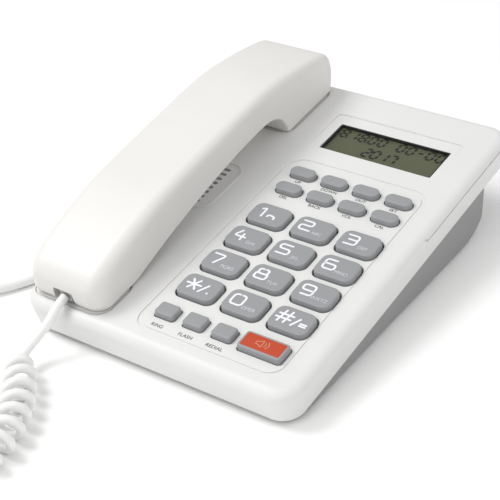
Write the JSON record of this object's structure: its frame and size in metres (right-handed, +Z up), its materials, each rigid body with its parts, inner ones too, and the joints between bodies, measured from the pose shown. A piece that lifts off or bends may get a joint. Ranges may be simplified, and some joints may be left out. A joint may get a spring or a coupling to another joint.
{
  "type": "corded desk telephone",
  "caption": "Desk telephone with a sloped key panel, a small display, a lift-off handset on its cradle and a curly handset cord.",
  "frame": {"origin": "Middle of the telephone's footprint on the desk, under the centre of its box without the cord.", "axes": "+Z up, +Y to the rear of the telephone, its longest way, +X to its right as seen by the user."},
  "size_m": [0.2067, 0.3476, 0.0761],
  "materials": {
    "white_shell": "matte",
    "handset_white": "matte",
    "grey_case": "matte",
    "grey_key": "matte",
    "orange_key": "satin",
    "black_plastic": "matte",
    "black_rubber": "matte",
    "silicone": "matte",
    "steel": "satin",
    "clear_lens": "polished",
    "lcd_glass": "satin",
    "circuit_board": "satin",
    "ribbon_cable": "matte",
    "speaker_metal": "satin",
    "clear_plug": "polished",
    "cord_jacket": "satin"
  },
  "bodies": {
    "base": {"top_cover": "white_shell", "bottom_case": "grey_case", "rubber_feet": "black_rubber", "case_screws": "steel", "board_screws": "steel", "display_frame": "black_plastic", "display_window": "clear_lens", "display_panel": "lcd_glass", "display_board": "circuit_board", "key_mat": "silicone", "key_board": "circuit_board", "main_board": "circuit_board", "ballast_plate": "steel", "hook_switch": "black_plastic", "board_ribbon": "ribbon_cable", "speaker": "speaker_metal", "base_microphone": "speaker_metal", "line_jack": "black_plastic", "cord_jack": "black_plastic", "base_plug": "clear_plug", "cord_lead": "cord_jacket", "cord_coil": "cord_jacket", "cord_tail": "cord_jacket"},
    "handset": {"handset_upper_shell": "handset_white", "handset_lower_shell": "handset_white", "handset_receiver": "speaker_metal", "handset_microphone": "speaker_metal", "handset_weight": "steel", "handset_jack": "black_plastic", "handset_screws": "steel", "handset_plug": "clear_plug"},
    "key_1_body": {"key_1": "grey_key"},
    "key_2_body": {"key_2": "grey_key"},
    "key_3_body": {"key_3": "grey_key"},
    "key_4_body": {"key_4": "grey_key"},
    "key_5_body": {"key_5": "grey_key"},
    "key_6_body": {"key_6": "grey_key"},
    "key_7_body": {"key_7": "grey_key"},
    "key_8_body": {"key_8": "grey_key"},
    "key_9_body": {"key_9": "grey_key"},
    "key_star_body": {"key_star": "grey_key"},
    "key_0_body": {"key_0": "grey_key"},
    "key_hash_body": {"key_hash": "grey_key"},
    "function_key_1_body": {"function_key_1": "grey_key"},
    "function_key_2_body": {"function_key_2": "grey_key"},
    "function_key_3_body": {"function_key_3": "grey_key"},
    "function_key_4_body": {"function_key_4": "grey_key"},
    "function_key_5_body": {"function_key_5": "grey_key"},
    "function_key_6_body": {"function_key_6": "grey_key"},
    "function_key_7_body": {"function_key_7": "grey_key"},
    "function_key_8_body": {"function_key_8": "grey_key"},
    "mode_key_1_body": {"mode_key_1": "grey_key"},
    "mode_key_2_body": {"mode_key_2": "grey_key"},
    "mode_key_3_body": {"mode_key_3": "grey_key"},
    "speaker_key_body": {"speaker_key": "grey_key", "speaker_key_lens": "orange_key"},
    "hook": {"hook_plunger": "white_shell"}
  },
  "joints": [
    {"name": "handset_lift", "type": "slide", "parent": "base", "child": "handset", "axis": [0, -0.1392, 0.9903], "range_m": [0, 0.05]},
    {"name": "key_1_press", "type": "slide", "parent": "base", "child": "key_1_body", "axis": [0, 0.1392, -0.9903], "range_m": [0, 0.0015], "stiffness_N_per_m": 600},
    {"name": "key_2_press", "type": "slide", "parent": "base", "child": "key_2_body", "axis": [0, 0.1392, -0.9903], "range_m": [0, 0.0015], "stiffness_N_per_m": 600},
    {"name": "key_3_press", "type": "slide", "parent": "base", "child": "key_3_body", "axis": [0, 0.1392, -0.9903], "range_m": [0, 0.0015], "stiffness_N_per_m": 600},
    {"name": "key_4_press", "type": "slide", "parent": "base", "child": "key_4_body", "axis": [0, 0.1392, -0.9903], "range_m": [0, 0.0015], "stiffness_N_per_m": 600},
    {"name": "key_5_press", "type": "slide", "parent": "base", "child": "key_5_body", "axis": [0, 0.1392, -0.9903], "range_m": [0, 0.0015], "stiffness_N_per_m": 600},
    {"name": "key_6_press", "type": "slide", "parent": "base", "child": "key_6_body", "axis": [0, 0.1392, -0.9903], "range_m": [0, 0.0015], "stiffness_N_per_m": 600},
    {"name": "key_7_press", "type": "slide", "parent": "base", "child": "key_7_body", "axis": [0, 0.1392, -0.9903], "range_m": [0, 0.0015], "stiffness_N_per_m": 600},
    {"name": "key_8_press", "type": "slide", "parent": "base", "child": "key_8_body", "axis": [0, 0.1392, -0.9903], "range_m": [0, 0.0015], "stiffness_N_per_m": 600},
    {"name": "key_9_press", "type": "slide", "parent": "base", "child": "key_9_body", "axis": [0, 0.1392, -0.9903], "range_m": [0, 0.0015], "stiffness_N_per_m": 600},
    {"name": "key_star_press", "type": "slide", "parent": "base", "child": "key_star_body", "axis": [0, 0.1392, -0.9903], "range_m": [0, 0.0015], "stiffness_N_per_m": 600},
    {"name": "key_0_press", "type": "slide", "parent": "base", "child": "key_0_body", "axis": [0, 0.1392, -0.9903], "range_m": [0, 0.0015], "stiffness_N_per_m": 600},
    {"name": "key_hash_press", "type": "slide", "parent": "base", "child": "key_hash_body", "axis": [0, 0.1392, -0.9903], "range_m": [0, 0.0015], "stiffness_N_per_m": 600},
    {"name": "function_key_1_press", "type": "slide", "parent": "base", "child": "function_key_1_body", "axis": [0, 0.1392, -0.9903], "range_m": [0, 0.0015], "stiffness_N_per_m": 600},
    {"name": "function_key_2_press", "type": "slide", "parent": "base", "child": "function_key_2_body", "axis": [0, 0.1392, -0.9903], "range_m": [0, 0.0015], "stiffness_N_per_m": 600},
    {"name": "function_key_3_press", "type": "slide", "parent": "base", "child": "function_key_3_body", "axis": [0, 0.1392, -0.9903], "range_m": [0, 0.0015], "stiffness_N_per_m": 600},
    {"name": "function_key_4_press", "type": "slide", "parent": "base", "child": "function_key_4_body", "axis": [0, 0.1392, -0.9903], "range_m": [0, 0.0015], "stiffness_N_per_m": 600},
    {"name": "function_key_5_press", "type": "slide", "parent": "base", "child": "function_key_5_body", "axis": [0, 0.1392, -0.9903], "range_m": [0, 0.0015], "stiffness_N_per_m": 600},
    {"name": "function_key_6_press", "type": "slide", "parent": "base", "child": "function_key_6_body", "axis": [0, 0.1392, -0.9903], "range_m": [0, 0.0015], "stiffness_N_per_m": 600},
    {"name": "function_key_7_press", "type": "slide", "parent": "base", "child": "function_key_7_body", "axis": [0, 0.1392, -0.9903], "range_m": [0, 0.0015], "stiffness_N_per_m": 600},
    {"name": "function_key_8_press", "type": "slide", "parent": "base", "child": "function_key_8_body", "axis": [0, 0.1392, -0.9903], "range_m": [0, 0.0015], "stiffness_N_per_m": 600},
    {"name": "mode_key_1_press", "type": "slide", "parent": "base", "child": "mode_key_1_body", "axis": [0, 0.1392, -0.9903], "range_m": [0, 0.0015], "stiffness_N_per_m": 600},
    {"name": "mode_key_2_press", "type": "slide", "parent": "base", "child": "mode_key_2_body", "axis": [0, 0.1392, -0.9903], "range_m": [0, 0.0015], "stiffness_N_per_m": 600},
    {"name": "mode_key_3_press", "type": "slide", "parent": "base", "child": "mode_key_3_body", "axis": [0, 0.1392, -0.9903], "range_m": [0, 0.0015], "stiffness_N_per_m": 600},
    {"name": "speaker_key_press", "type": "slide", "parent": "base", "child": "speaker_key_body", "axis": [0, 0.1392, -0.9903], "range_m": [0, 0.0015], "stiffness_N_per_m": 600},
    {"name": "hook_travel", "type": "slide", "parent": "base", "child": "hook", "axis": [0, -0.1392, 0.9903], "range_m": [0, 0.004]}
  ],
  "couplings": [
    {"joint": "hook_travel", "follows": "handset_lift", "ratio": 0.08}
  ]
}
